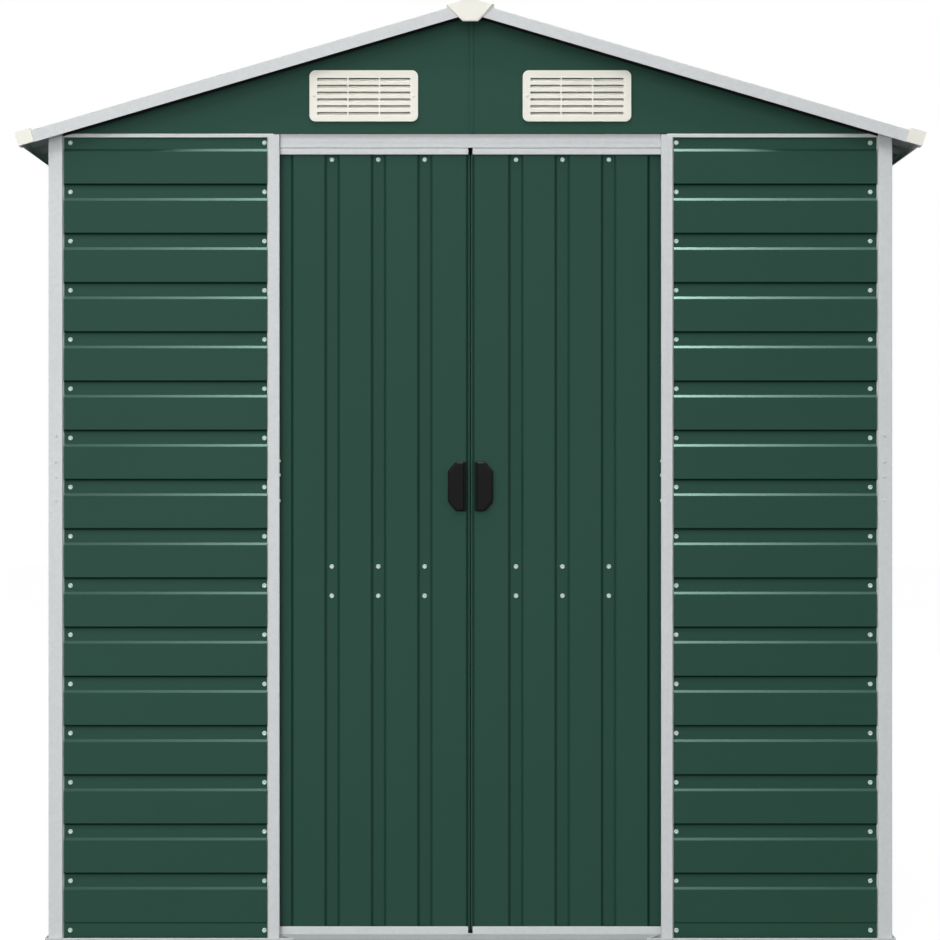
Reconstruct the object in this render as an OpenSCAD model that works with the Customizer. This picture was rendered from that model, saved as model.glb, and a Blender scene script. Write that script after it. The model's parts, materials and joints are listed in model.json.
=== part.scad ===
// Storage shed of folded sheet steel with a pitched roof and two sliding doors.
// Sizes in millimetres, +Z up. The front faces -Y and the origin is on the ground
// below the middle of the roof.

/* [Overall size] */
// Width over the eave corner caps
roof_w = 1910; // [1750:10:2300]
// Depth over the ridge end caps
roof_d = 2150; // [1700:10:3200]
// Height from the ground to the top of the ridge end caps
shed_h = 1984; // [1900:4:2300]
// Slope of the roof in degrees
roof_pitch = 16.4; // [14:0.2:19]
// How far the eave caps stand outside the side walls
eave_overhang = 64; // [58:1:90]
// How far the verge trims stand in front of the end walls
verge_overhang = 40; // [34:1:60]

/* [Sheet metal] */
// Thickness of the wall, door, gable and roof sheets
panel_t = 0.8; // [0.6:0.1:1]
// Thickness of the posts, rails and trims
frame_t = 1.2; // [1:0.1:1.5]
// Outside radius of the bends in the sheets
panel_bend = 3; // [2:0.1:3.5]
// Outside radius of the bends in the frame
frame_bend = 2; // [1.8:0.1:2.4]
// Gap left between pieces that are screwed together
fit = 0.2; // [0.1:0.05:0.3]

/* [Wall sheets] */
// Spacing of the horizontal ribs
rib_pitch = 104; // [90:1:120]
// Height of the flat between two ribs
rib_valley = 27; // [20:0.5:36]
// Height taken by the upper slanted side of a rib
rib_run = 6; // [4:0.5:8]
// Height taken by the lower slanted side of a rib
rib_under = 3; // [2.6:0.2:5]
// How far the ribs stand out of the sheet
rib_depth = 4; // [3.5:0.5:6]
// How far the ribs lie behind the faces of the posts
rib_inset = 4; // [3:0.5:6]
// Height of the lowest rib above the ground
rib_first = 34; // [28:1:44]
// How far the foot of a wall sheet is set back behind its ribs
foot_joggle = 1; // [0.8:0.1:2]
// Least height left above the highest rib
rib_margin = 20; // [18:1:28]

/* [Frame] */
// Width of a corner post's face
post_face = 30; // [28:1:40]
// Width of a door jamb's face
jamb_face = 24.5; // [20:0.5:34]
// Width of a wall post's face
wall_post_face = 24.5; // [20:0.5:34]
// Width of the flanges that the wall sheets are screwed to
seat_flange = 27; // [20:1:36]
// Height of the lip on the top rails
top_lip = 8; // [7:0.5:12]
// Height of the inner leg of the top rails
top_leg = 46; // [36:1:56]
// Height of the gable's foot below the roof at the corner posts
gable_drop = 6; // [5.5:0.5:9]
// Height of the lip on the base rails
base_lip = 5; // [4:0.5:8]
// How far the base rails stand outside the posts
base_out = 6; // [5:0.5:10]
// Height of the inner leg of the base rails
base_leg = 40; // [30:1:55]

/* [Doorway] */
// Clear width between the door jambs
open_w = 806; // [760:2:860]
// How far the front top rails' lips reach over the jambs
lip_lap = 13; // [8:1:18]
// Height of the visible track face above the doors
header_face = 28.5; // [24:0.5:36]
// Height of the door sill
sill_h = 12; // [9:0.5:14]
// Length of the slanted ends of the door sill
sill_mitre = 33; // [20:1:40]

/* [Doors] */
// Gap between the two closed doors
door_gap = 5; // [5:0.5:8]
// Gap between the ends of the two closed doors' rails
door_rail_gap = 9.5; // [9:0.5:12]
// How far the doors reach behind the jambs
door_lap = 14; // [10:1:20]
// How far each door slides
door_travel = 345; // [300:1:346]
// Length of the track beyond the open doors
track_spare = 22; // [16:1:30]
// Running clearance in front of the doors
door_clear = 5.5; // [5:0.1:8]
// How far the doors' ribs stand out
door_depth = 6; // [5:0.5:9]
// Number of ribs on a door
door_ribs = 4; // [3:1:5]
// Width of a groove between two door ribs
door_groove = 27.5; // [22:0.5:34]
// Width taken by each slanted side of a door rib
door_run = 5.6; // [3:0.2:5.6]
// How much wider the rib at the meeting edge is
door_edge_extra = 5; // [0:0.5:8]
// Width of the flange along the meeting edge
door_edge = 4.3; // [4.3:0.1:8]
// Width of the flange that shows beside the jamb
door_reveal = 25.4; // [18:0.2:30]
// Height of the doors' top rail
door_top_rail = 19.5; // [16:0.5:26]
// Height of the top rail's inner leg
door_top_leg = 42; // [34:1:50]
// Height of the doors' bottom rail
door_bottom_rail = 19; // [17:0.5:26]
// How far the top rails reach up behind the track face
door_hide = 7.5; // [6:0.5:8]
// Gap under the doors
door_floor_gap = 5; // [5:0.5:7]
// Height of the guide ridge that the doors straddle
guide_h = 10; // [9:0.5:11]
// Height of the brace across the back of a door
brace_h = 100; // [90:1:120]
// Height of each flange of the brace
brace_flange = 25; // [18:1:30]
// Distance of the brace from the edges of the door
brace_end = 7; // [5:0.5:12]
// Depth of the brace
brace_depth = 10; // [8:0.5:14]
// Height of the middle of the brace above the ground
brace_z = 757; // [650:1:850]

/* [Handles] */
// Width of a handle
handle_w = 38; // [32:1:42]
// Height of a handle
handle_h = 105; // [90:1:130]
// How far a handle stands out of the door
handle_t = 14; // [10:0.5:18]
// Height of the middle of the handles above the ground
handle_z = 957; // [900:1:1050]
// Width of the slanted corners
handle_corner = 17; // [14:1:22]
// Height of the slanted corners
handle_corner_h = 20; // [16:1:26]
// Radius between the slanted corners and the sides
handle_round = 8; // [5:0.5:10]
// Width of the bevel around the face
handle_bevel = 3; // [2:0.5:5]
// Width of the finger step along the meeting edge
handle_grip = 5; // [4:0.5:8]
// Depth of the finger step
handle_grip_depth = 8; // [6:0.5:9]

/* [Door hangers] */
// Diameter of the hanger wheels
wheel_d = 20; // [16:1:22]
// Width of the hanger wheels
wheel_w = 8; // [6:0.5:10]
// Diameter of the wheels' axles
axle_d = 6; // [5:0.5:8]
// Width of a hanger plate
hanger_w = 40; // [30:1:50]
// Thickness of a hanger plate
hanger_t = 1.6; // [1.2:0.1:2.5]
// Distance of the hangers from the ends of a door
hanger_end = 45; // [35:1:70]
// Gap between a hanger plate and its wheel
hanger_gap = 4; // [3:0.5:6]
// How far the track's lip reaches in front of the wheels
track_lip_lead = 1; // [0.5:0.1:2]
// Height of the wheels above the doors' top rails
hanger_rise = 6; // [5:0.5:8]

/* [Roof] */
// Height of the trims' faces
trim_face = 26; // [22:0.5:34]
// Width of the verge trims' flanges
trim_flange = 30; // [22:1:32]
// Gap between the two verge trims at the ridge
verge_joint = 2; // [1:0.5:4]
// Width of the eave trims' flanges
eave_flange = 24; // [18:1:26]
// Spacing of the roof ribs
roof_rib_pitch = 106; // [90:1:130]
// Width of a roof rib's top
roof_rib_top = 26; // [18:1:36]
// Width taken by each side of a roof rib
roof_rib_run = 8; // [6:0.5:12]
// Height of the roof ribs
roof_rib_h = 11.2; // [8:0.2:12]
// Least width of the flat along a roof sheet's edge
roof_edge_flat = 20; // [12:1:40]
// Distance of the roof sheets' upper edges from the ridge
roof_ridge_gap = 20; // [14:1:30]
// Length of each side of the ridge flashing
ridge_flash = 95; // [80:1:120]
// Distance of the ridge flashing's ends behind the verge trims
ridge_flash_back = 12; // [8:1:20]
// Length of each side of the ridge beam
ridge_beam_side = 48; // [40:1:60]
// Height of the ridge beam's lips
ridge_beam_lip = 16; // [12:1:24]
// Distance of the purlins from the ridge along the slope
purlin_place = 480; // [420:5:600]
// Height of the purlins
purlin_h = 34; // [26:1:45]
// Width of the purlins' flanges
purlin_flange = 24; // [18:1:32]

/* [Caps] */
// How far the caps stand in front of the trims
cap_stand = 4; // [3.5:0.5:6]
// Wall thickness of the caps
cap_t = 2.5; // [2:0.1:3]
// How far the ridge end caps rise above the trims
ridge_cap_rise = 8; // [7:0.5:10]
// Half the width of a ridge end cap
ridge_cap_half = 50; // [44:1:60]
// Half the width of a ridge end cap's foot
ridge_cap_foot = 16; // [12:1:24]
// Drop of a ridge end cap's side corners below the trims' peak
ridge_cap_side = 10.5; // [10:0.5:16]
// Drop of a ridge end cap's foot below the trims' peak
ridge_cap_drop = 44; // [36:1:52]
// Length of a ridge end cap along the ridge
ridge_cap_len = 45; // [36:1:60]
// How far the eave corner caps rise above the trims
eave_cap_rise = 5; // [4:0.5:7]
// Length of an eave corner cap's sides
eave_cap_len = 34; // [32:1:40]

/* [Gables and vents] */
// How far the gables lie behind the faces of the posts
gable_inset = 4; // [3:0.5:6]
// Width of the lapped seam in the middle of the gables
gable_lap = 9.5; // [6:0.5:14]
// Width of a vent
vent_w = 229; // [200:1:250]
// Height of a vent
vent_h = 108; // [98:1:112]
// Thickness of a vent
vent_t = 7; // [5:0.5:9]
// Corner radius of a vent
vent_r = 13; // [8:0.5:16]
// Distance of a vent's middle from the middle of the gable
vent_x = 225; // [200:1:240]
// Height of a vent's middle above the gable's foot
vent_z = 79; // [70:1:84]
// Number of louvre rows in a vent
vent_rows = 6; // [4:1:6]
// Spacing of the louvre rows
vent_pitch = 14.4; // [13:0.2:15]
// Height of a louvre slot
vent_slot = 6.2; // [3.5:0.1:6.5]
// Rise of a louvre slot from the front to the back
vent_slot_rise = 4; // [3:0.5:7]
// Number of louvre columns in a vent
vent_columns = 3; // [2:1:3]
// Width of a louvre column
vent_column = 63; // [50:1:64]
// Width of the bars between the columns
vent_bar = 3.5; // [3:0.5:8]

/* [Hidden] */

green = "#2f5146";
silver = "#d0d2d2";
cream = "#e6e4d8";
black = "#232323";

// Straight pieces in one bend of the sheets, the frame and the handles
panel_steps = 4;
frame_steps = 2;
handle_steps = 4;
// Extra length of a cut, so that it passes right through
cut = 1;
// Longer than any piece of the shed
far = 4000;
slope_sin = sin(roof_pitch);
slope_cos = cos(roof_pitch);
slope_tan = tan(roof_pitch);

wall_w = roof_w - 2 * eave_overhang;
wall_d = roof_d - 2 * (verge_overhang + cap_stand);
half_w = wall_w / 2;
half_d = wall_d / 2;
open_half = open_w / 2;

// Layers behind the faces of the posts
valley_d = rib_inset + rib_depth;
seat_d = valley_d + panel_t;
leg_d = seat_d + frame_t;
rail_d = leg_d + frame_t;
track_seat_d = rail_d - fit;
foot_d = rib_inset + foot_joggle;
door_d = rail_d + frame_t + door_clear;
door_sheet_d = door_d + frame_t + fit;
door_sheet_back = door_sheet_d + door_depth + panel_t;
door_back = door_sheet_back + fit + frame_t;
hanger_back = door_back + hanger_t;
wheel_front = hanger_back + hanger_gap;
track_lip_d = wheel_front - track_lip_lead;
track_back = wheel_front + wheel_w + door_clear + frame_t;
guide_mid = (door_d + door_back) / 2;

// Roof planes, named by their height above the trims' tops along the slope's normal
ridge_z = shed_h - ridge_cap_rise / slope_cos;
under_w = -(frame_t + roof_rib_h + panel_t);
gable_w = under_w - fit;
beam_w = gable_w - panel_t - fit;
function roof_z(x, w) = ridge_z + w / slope_cos - abs(x) * slope_tan;

eave_cap_u = (roof_w / 2 - eave_cap_rise * slope_sin) / slope_cos;
eave_u = eave_cap_u - cap_stand;
trim_y = roof_d / 2 - cap_stand;

// Gap beside a bend, so that a sheet's edge clears its radius
bend_gap = frame_bend + fit;

// Heights
top_z = roof_z(half_w - post_face, under_w) - gable_drop;
side_lip_z = roof_z(half_w - frame_t, under_w - fit);
side_leg_z = roof_z(half_w - rail_d, under_w - fit);
side_sheet_z = roof_z(half_w - valley_d, under_w - fit - frame_t) - fit;
header_z = top_z - header_face;
door_top = header_z + door_hide;
door_foot = frame_t + door_floor_gap;
door_web = door_foot + guide_h - frame_t;
wheel_floor = door_top + hanger_rise;
wheel_z = wheel_floor + wheel_d / 2 + fit;
track_top = wheel_z + wheel_d / 2 + door_clear + frame_t;
rib_band = rib_pitch - rib_valley;
rib_count = floor((top_z - frame_t - rib_margin - rib_first - rib_band) / rib_pitch) + 1;

// Doors, measured outwards from the middle of the doorway
door_in = door_gap / 2;
door_rail_in = door_rail_gap / 2;
door_out = open_half + door_lap;
door_rib_in = door_in + door_edge;
door_rib_out = open_half - door_reveal;
door_rib = (door_rib_out - door_rib_in - (door_ribs - 1) * door_groove - door_edge_extra) / door_ribs;
track_half = door_out + door_travel + track_spare;

// Points of a path, moved sideways to its right and rounded at its corners
function unit(v) = v / norm(v);
function right_of(v) = [v[1], -v[0]];
function edge_normal(p, i) = right_of(unit(p[i + 1] - p[i]));
function inner_mitre(a, b) = (a + b) / (1 + a * b);
function mitre(p, i) =
  i == 0 ? edge_normal(p, 0)
  : i == len(p) - 1 ? edge_normal(p, i - 1)
  : inner_mitre(edge_normal(p, i - 1), edge_normal(p, i));
function shifted(p, t) = [for (i = [0:len(p) - 1]) p[i] + t * mitre(p, i)];
function backwards(p) = [for (i = [len(p) - 1:-1:0]) p[i]];
function arc_point(c, r, a, b, sweep, k) =
  c + r * (sin((1 - k) * sweep) * a + sin(k * sweep) * b) / sin(sweep);
function arc(c, r, a, b, steps) =
  let (sweep = acos(a * b))
  [for (i = [0:steps]) arc_point(c, r, a, b, sweep, i / steps)];
function bend(a, b, c, r, steps) =
  let (
    u = unit(a - b),
    v = unit(c - b),
    half = acos(u * v) / 2,
    middle = b + unit(u + v) * r / sin(half),
    start = b + u * r / tan(half),
    end = b + v * r / tan(half)
  )
  arc(middle, r, unit(start - middle), unit(end - middle), steps);
function bent(p, r, steps) = [
  for (i = [0:len(p) - 1])
    each i == 0 || i == len(p) - 1 ? [p[i]] : bend(p[i - 1], p[i], p[i + 1], r, steps)
];
// Outline of a folded sheet. The path is the outside face, with the metal on its right
function sheet(q, t) = concat(q, backwards(shifted(q, t)));
function panel_sheet(p) = sheet(bent(p, panel_bend, panel_steps), panel_t);
function frame_sheet(p) = sheet(bent(p, frame_bend, frame_steps), frame_t);

// Draws an outline of depth and height along the wall
module along_wall(from, to) {
  translate([from, 0, 0])
    rotate([90, 0, 90])
      linear_extrude(to - from)
        children();
}

// Draws an outline of width and height from one depth to another
module into_wall(from, to) {
  translate([0, to, 0])
    rotate([90, 0, 0])
      linear_extrude(to - from)
        children();
}

// Places a piece of a wall: X along the wall, Y inwards from the faces of the posts
module on_front() {
  translate([0, -half_d, 0])
    children();
}

module on_rear() {
  rotate([0, 0, 180])
    translate([0, -half_d, 0])
      children();
}

module on_right() {
  rotate([0, 0, 90])
    translate([0, -half_w, 0])
      children();
}

module on_left() {
  rotate([0, 0, 270])
    translate([0, -half_w, 0])
      children();
}

// Places a piece of the right roof slope: X down the slope, Z out of it
module on_slope() {
  translate([0, 0, ridge_z])
    rotate([0, roof_pitch, 0])
      children();
}

module both_slopes() {
  on_slope()
    children();
  mirror([1, 0, 0])
    on_slope()
      children();
}

// Everything above a plane of the right roof slope
module over_slope(w) {
  on_slope()
    translate([-far, -far, w])
      cube([2 * far, 2 * far, far]);
}

// Base rails
module base_outline() {
  polygon(frame_sheet([
    [rail_d, base_leg],
    [rail_d, 0],
    [-base_out, 0],
    [-base_out, base_lip]
  ]));
}

module mitred_base_rail(half) {
  difference() {
    along_wall(-half - base_out, half + base_out)
      base_outline();
    for (side = [0, 1])
      mirror([side, 0, 0])
        translate([half + base_out, -base_out, 0])
          rotate([0, 0, 45])
            translate([0, -far / 2, -cut])
              cube([far, far, base_leg + 2 * cut]);
  }
}

// Room for the threshold, which is narrower in front of the jambs
module doorway_outline(half) {
  polygon([
    [half - sill_mitre, -base_out - cut],
    [half, seat_d],
    [half, rail_d + cut],
    [-half, rail_d + cut],
    [-half, seat_d],
    [sill_mitre - half, -base_out - cut]
  ]);
}

module base_rails_front() {
  color(silver)
    on_front()
      difference() {
        mitred_base_rail(half_w);
        translate([0, 0, -cut])
          linear_extrude(base_leg + 2 * cut)
            doorway_outline(open_half);
      }
}

module base_rail_rear() {
  color(silver)
    on_rear()
      mitred_base_rail(half_w);
}

module base_rail_left() {
  color(silver)
    on_left()
      mitred_base_rail(half_d);
}

module base_rail_right() {
  color(silver)
    on_right()
      mitred_base_rail(half_d);
}

// Threshold that slopes outwards, with slanted ends
module door_sill() {
  end_x = open_half - fit;
  color(silver)
    on_front()
      intersection() {
        along_wall(-end_x, end_x)
          polygon(frame_sheet([
            [-base_out, frame_t + fit],
            [leg_d, sill_h],
            [leg_d, 0]
          ]));
        translate([0, 0, -cut])
          linear_extrude(sill_h + 2 * cut)
            doorway_outline(end_x);
      }
}

// Flat strip with an upright ridge that the doors straddle
module door_guide() {
  front = rail_d + fit;
  color(silver)
    on_front()
      along_wall(-track_half, track_half)
        polygon([
          [front, 0],
          [track_back, 0],
          [track_back, frame_t],
          [guide_mid + frame_t, frame_t],
          [guide_mid + frame_t, guide_h],
          [guide_mid - frame_t, guide_h],
          [guide_mid - frame_t, frame_t],
          [front, frame_t]
        ]);
}

// Corner posts: two faces, a rebate beside each and a flange behind each wall sheet
module corner_post() {
  reach = post_face + seat_flange;
  front_top = top_z - bend_gap;
  side_top = roof_z(half_w - seat_d, under_w - frame_t - bend_gap);
  color(silver)
    difference() {
      translate([-half_w, -half_d, bend_gap])
        linear_extrude(shed_h)
          polygon(frame_sheet([
            [reach, seat_d],
            [post_face, seat_d],
            [post_face, 0],
            [0, 0],
            [0, post_face],
            [seat_d, post_face],
            [seat_d, reach]
          ]));
      translate([-half_w + post_face, -half_d, front_top])
        cube([reach, leg_d + cut, far]);
      translate([-half_w, -half_d + post_face, side_top])
        cube([leg_d + cut, reach, far]);
      mirror([1, 0, 0])
        over_slope(under_w - fit);
    }
}

module front_left_post() {
  corner_post();
}

module front_right_post() {
  mirror([1, 0, 0])
    corner_post();
}

module rear_left_post() {
  mirror([0, 1, 0])
    corner_post();
}

module rear_right_post() {
  mirror([1, 0, 0])
    mirror([0, 1, 0])
      corner_post();
}

// Door jambs: a face, a return into the doorway and a flange behind the wall sheet
module right_door_jamb() {
  lip_z = top_z - top_lip - fit;
  color(silver)
    on_front()
      translate([open_half, 0, 0])
        difference() {
          translate([0, 0, bend_gap])
            linear_extrude(top_z - 2 * bend_gap)
              polygon(frame_sheet([
                [jamb_face + seat_flange, seat_d],
                [jamb_face, seat_d],
                [jamb_face, 0],
                [0, 0],
                [0, leg_d]
              ]));
          translate([lip_lap - fit, -cut, lip_z])
            cube([far, seat_d - frame_bend, far]);
          translate([lip_lap - fit, -cut, lip_z])
            cube([jamb_face - lip_lap + 2 * fit, leg_d + 2 * cut, far]);
        }
}

module left_door_jamb() {
  mirror([1, 0, 0])
    right_door_jamb();
}

// Wall posts between two sheets
module wall_post(top) {
  face = wall_post_face / 2;
  color(silver)
    translate([0, 0, bend_gap])
      linear_extrude(top - bend_gap)
        polygon(frame_sheet([
          [face + seat_flange, seat_d],
          [face, seat_d],
          [face, 0],
          [-face, 0],
          [-face, seat_d],
          [-face - seat_flange, seat_d]
        ]));
}

module side_wall_posts() {
  on_left()
    wall_post(side_lip_z - top_lip - fit);
  on_right()
    wall_post(side_lip_z - top_lip - fit);
}

module rear_wall_post() {
  on_rear()
    wall_post(top_z - top_lip - fit);
}

// Top rails: a lip over the wall sheets' edges, a shelf and an inner leg
module end_top_rail(from, to) {
  color(silver)
    along_wall(from, to)
      polygon(frame_sheet([
        [frame_t, top_z - top_lip],
        [frame_t, top_z],
        [rail_d, top_z],
        [rail_d, top_z - top_leg]
      ]));
}

module side_top_rail() {
  reach = half_d - post_face - fit;
  color(silver)
    along_wall(-reach, reach)
      polygon(frame_sheet([
        [frame_t, side_lip_z - top_lip],
        [frame_t, side_lip_z],
        [rail_d, side_leg_z],
        [rail_d, side_leg_z - top_leg]
      ]));
}

module top_rails_front() {
  on_front() {
    end_top_rail(-half_w + post_face + fit, -open_half - lip_lap);
    end_top_rail(open_half + lip_lap, half_w - post_face - fit);
  }
}

module top_rail_rear() {
  on_rear()
    end_top_rail(-half_w + post_face + fit, half_w - post_face - fit);
}

module top_rail_left() {
  on_left()
    side_top_rail();
}

module top_rail_right() {
  on_right()
    side_top_rail();
}

// Track with a face over the doorway and a lip that the hanger wheels run on
module door_track() {
  color(silver)
    on_front()
      along_wall(-track_half, track_half)
        polygon(frame_sheet([
          [rail_d, header_z],
          [rail_d, track_top],
          [track_back, track_top],
          [track_back, wheel_floor - frame_t],
          [track_lip_d, wheel_floor - frame_t]
        ]));
}

// Wall sheets with horizontal ribs
function rib_points(k) =
  let (z = rib_first + k * rib_pitch)
  [
    [valley_d, z],
    [rib_inset, z + rib_under],
    [rib_inset, z + rib_band - rib_run],
    [valley_d, z + rib_band]
  ];

module wall_sheet(from, to, top) {
  path = concat(
    [
      [foot_d, frame_t],
      [foot_d, rib_first],
      [rib_inset, rib_first + rib_under],
      [rib_inset, rib_first + rib_band - rib_run],
      [valley_d, rib_first + rib_band]
    ],
    [for (k = [1:rib_count - 1]) each rib_points(k)],
    [[valley_d, top]]
  );
  color(green)
    along_wall(from + bend_gap, to - bend_gap)
      polygon(panel_sheet(path));
}

module front_right_wall() {
  on_front()
    wall_sheet(open_half + jamb_face, half_w - post_face, top_z - frame_t - fit);
}

module front_left_wall() {
  mirror([1, 0, 0])
    front_right_wall();
}

module side_sheet() {
  wall_sheet(wall_post_face / 2, half_d - post_face, side_sheet_z);
}

module left_wall_front() {
  on_left()
    side_sheet();
}

module left_wall_rear() {
  on_left()
    mirror([1, 0, 0])
      side_sheet();
}

module right_wall_front() {
  on_right()
    mirror([1, 0, 0])
      side_sheet();
}

module right_wall_rear() {
  on_right()
    side_sheet();
}

module rear_wall_left() {
  on_rear()
    wall_sheet(wall_post_face / 2, half_w - post_face, top_z - frame_t - fit);
}

module rear_wall_right() {
  mirror([1, 0, 0])
    rear_wall_left();
}

// Gables: two flanged halves, one with a lap over the other
module gable_outline(from, to, foot, w) {
  polygon([
    [from, foot],
    [to, foot],
    [to, roof_z(to, w)],
    [from, roof_z(from, w)]
  ]);
}

module vent_window() {
  wide = vent_columns * (vent_column + vent_bar) - vent_bar;
  high = vent_rows * vent_pitch;
  translate([vent_x - wide / 2, gable_inset - cut, top_z + vent_z - high / 2])
    cube([wide, panel_t + 2 * cut, high]);
}

module gable_half() {
  end_x = half_w - post_face - fit;
  color(green)
    difference() {
      into_wall(gable_inset, track_seat_d)
        gable_outline(fit / 2, end_x, top_z, gable_w);
      into_wall(gable_inset + panel_t, track_seat_d + cut)
        gable_outline(-fit, end_x + cut, top_z + panel_t, gable_w - panel_t);
      vent_window();
    }
}

module gable_seam() {
  low = top_z + panel_t;
  color(green)
    into_wall(gable_inset - panel_t, gable_inset)
      polygon([
        [-gable_lap, low],
        [panel_t, low],
        [panel_t, roof_z(panel_t, gable_w)],
        [0, roof_z(0, gable_w)],
        [-gable_lap, roof_z(gable_lap, gable_w)]
      ]);
}

module front_gable_right() {
  on_front()
    gable_half();
}

module front_gable_left() {
  on_front()
    mirror([1, 0, 0]) {
      gable_half();
      gable_seam();
    }
}

module rear_gable_left() {
  rotate([0, 0, 180])
    front_gable_right();
}

module rear_gable_right() {
  rotate([0, 0, 180])
    front_gable_left();
}

// Louvred vents
module vent_plate_outline() {
  wide = vent_w - 2 * vent_r;
  high = vent_h - 2 * vent_r;
  square([vent_w, high], center = true);
  square([wide, vent_h], center = true);
  for (x = [-wide / 2, wide / 2])
    for (z = [-high / 2, high / 2])
      translate([x, z])
        circle(r = vent_r, $fn = 32);
}

module louvre_slot(z) {
  front = gable_inset - vent_t - cut;
  back = gable_inset + cut;
  along_wall(-vent_column / 2, vent_column / 2)
    polygon([
      [front, z - vent_slot / 2 - vent_slot_rise / 2],
      [front, z + vent_slot / 2 - vent_slot_rise / 2],
      [back, z + vent_slot / 2 + vent_slot_rise / 2],
      [back, z - vent_slot / 2 + vent_slot_rise / 2]
    ]);
}

module vent() {
  color(cream)
    translate([vent_x, 0, top_z + vent_z])
      difference() {
        into_wall(gable_inset - vent_t, gable_inset)
          vent_plate_outline();
        for (column = [0:vent_columns - 1])
          for (row = [0:vent_rows - 1])
            translate([(column - (vent_columns - 1) / 2) * (vent_column + vent_bar), 0, 0])
              louvre_slot((row - (vent_rows - 1) / 2) * vent_pitch);
      }
}

module front_vents() {
  on_front() {
    vent();
    mirror([1, 0, 0])
      vent();
  }
}

module rear_vents() {
  rotate([0, 0, 180])
    front_vents();
}

// Roof frame
module along_ridge(half) {
  translate([0, half, 0])
    rotate([90, 0, 0])
      linear_extrude(2 * half)
        children();
}

module ridge_beam() {
  edge = ridge_beam_side * slope_cos;
  low = roof_z(edge, beam_w);
  color(silver)
    along_ridge(half_d - gable_inset - panel_t - fit)
      polygon(frame_sheet([
        [-edge, low - ridge_beam_lip],
        [-edge, low],
        [0, roof_z(0, beam_w)],
        [edge, low],
        [edge, low - ridge_beam_lip]
      ]));
}

module roof_purlins() {
  color(silver)
    both_slopes()
      along_ridge(half_d - gable_inset - panel_t - fit)
        polygon(frame_sheet([
          [purlin_place + purlin_flange, beam_w - purlin_h],
          [purlin_place, beam_w - purlin_h],
          [purlin_place, beam_w],
          [purlin_place + purlin_flange, beam_w]
        ]));
}

// Roof sheets with ribs down the slope
roof_sheet_half = trim_y - frame_t - fit;
roof_rib_foot = roof_rib_top + 2 * roof_rib_run;
roof_ribs = floor((2 * (roof_sheet_half - roof_edge_flat) - roof_rib_foot) / roof_rib_pitch) + 1;

function roof_rib_points(k) =
  let (y = (k - (roof_ribs - 1) / 2) * roof_rib_pitch)
  [
    [y - roof_rib_foot / 2, under_w + panel_t],
    [y - roof_rib_top / 2, -frame_t],
    [y + roof_rib_top / 2, -frame_t],
    [y + roof_rib_foot / 2, under_w + panel_t]
  ];

module roof_sheet() {
  path = concat(
    [[-roof_sheet_half, under_w + panel_t]],
    [for (k = [0:roof_ribs - 1]) each roof_rib_points(k)],
    [[roof_sheet_half, under_w + panel_t]]
  );
  color(green)
    on_slope()
      along_wall(roof_ridge_gap, eave_u - bend_gap - fit)
        polygon(panel_sheet(path));
}

module right_roof_sheet() {
  roof_sheet();
}

module left_roof_sheet() {
  mirror([1, 0, 0])
    roof_sheet();
}

module ridge_flashing() {
  edge = ridge_flash * slope_cos;
  color(green)
    along_ridge(trim_y - ridge_flash_back)
      polygon(panel_sheet([
        [-edge, roof_z(edge, fit + panel_t)],
        [0, roof_z(0, fit + panel_t)],
        [edge, roof_z(edge, fit + panel_t)]
      ]));
}

// Trims: angles that close the edges of the roof
module verge_trim() {
  start = trim_face * slope_tan + verge_joint / 2;
  color(silver)
    on_slope()
      along_wall(start, eave_u - eave_flange - fit)
        polygon(frame_sheet([
          [-trim_y, -trim_face],
          [-trim_y, 0],
          [-trim_y + trim_flange, 0]
        ]));
}

module front_verge_trims() {
  verge_trim();
  mirror([1, 0, 0])
    verge_trim();
}

module rear_verge_trims() {
  mirror([0, 1, 0])
    front_verge_trims();
}

module eave_trims() {
  color(silver)
    both_slopes()
      along_ridge(roof_d / 2 - eave_cap_len + cap_stand)
        polygon(frame_sheet([
          [eave_u - eave_flange, 0],
          [eave_u, 0],
          [eave_u, -trim_face]
        ]));
}

// Caps over the ends of the trims
module ridge_end_cap_outline(inset) {
  side = ridge_cap_half - inset;
  top = ridge_cap_rise - inset;
  polygon([
    [0, roof_z(0, top)],
    [side, roof_z(side, top)],
    [side, ridge_z - ridge_cap_side],
    [ridge_cap_foot, ridge_z - ridge_cap_drop],
    [-ridge_cap_foot, ridge_z - ridge_cap_drop],
    [-side, ridge_z - ridge_cap_side],
    [-side, roof_z(side, top)]
  ]);
}

module under_flashing(depth) {
  w = 2 * fit + panel_t;
  into_wall(0, depth)
    polygon([
      [0, roof_z(0, w)],
      [roof_w / 2, roof_z(roof_w / 2, w)],
      [roof_w / 2, 0],
      [-roof_w / 2, 0],
      [-roof_w / 2, roof_z(roof_w / 2, w)]
    ]);
}

module ridge_end_cap() {
  color(cream)
    translate([0, -roof_d / 2, 0])
      difference() {
        into_wall(0, ridge_cap_len)
          ridge_end_cap_outline(0);
        translate([0, cap_stand - fit, 0])
          into_wall(0, ridge_cap_len)
            ridge_end_cap_outline(cap_t);
        translate([0, cap_stand - fit, 0])
          under_flashing(ridge_cap_len);
      }
}

module ridge_end_caps() {
  ridge_end_cap();
  mirror([0, 1, 0])
    ridge_end_cap();
}

module eave_corner_cap() {
  color(cream)
    on_slope()
      difference() {
        translate([eave_cap_u - eave_cap_len, -roof_d / 2, -trim_face])
          cube([eave_cap_len, eave_cap_len, trim_face + eave_cap_rise]);
        translate([eave_cap_u - eave_cap_len - cut, -trim_y - fit, -trim_face - cut])
          cube([eave_cap_len - cap_stand + cut + fit, eave_cap_len, trim_face + cut + fit]);
      }
}

module eave_corner_caps() {
  for (side = [0, 1])
    for (end = [0, 1])
      mirror([side, 0, 0])
        mirror([0, end, 0])
          eave_corner_cap();
}

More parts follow.
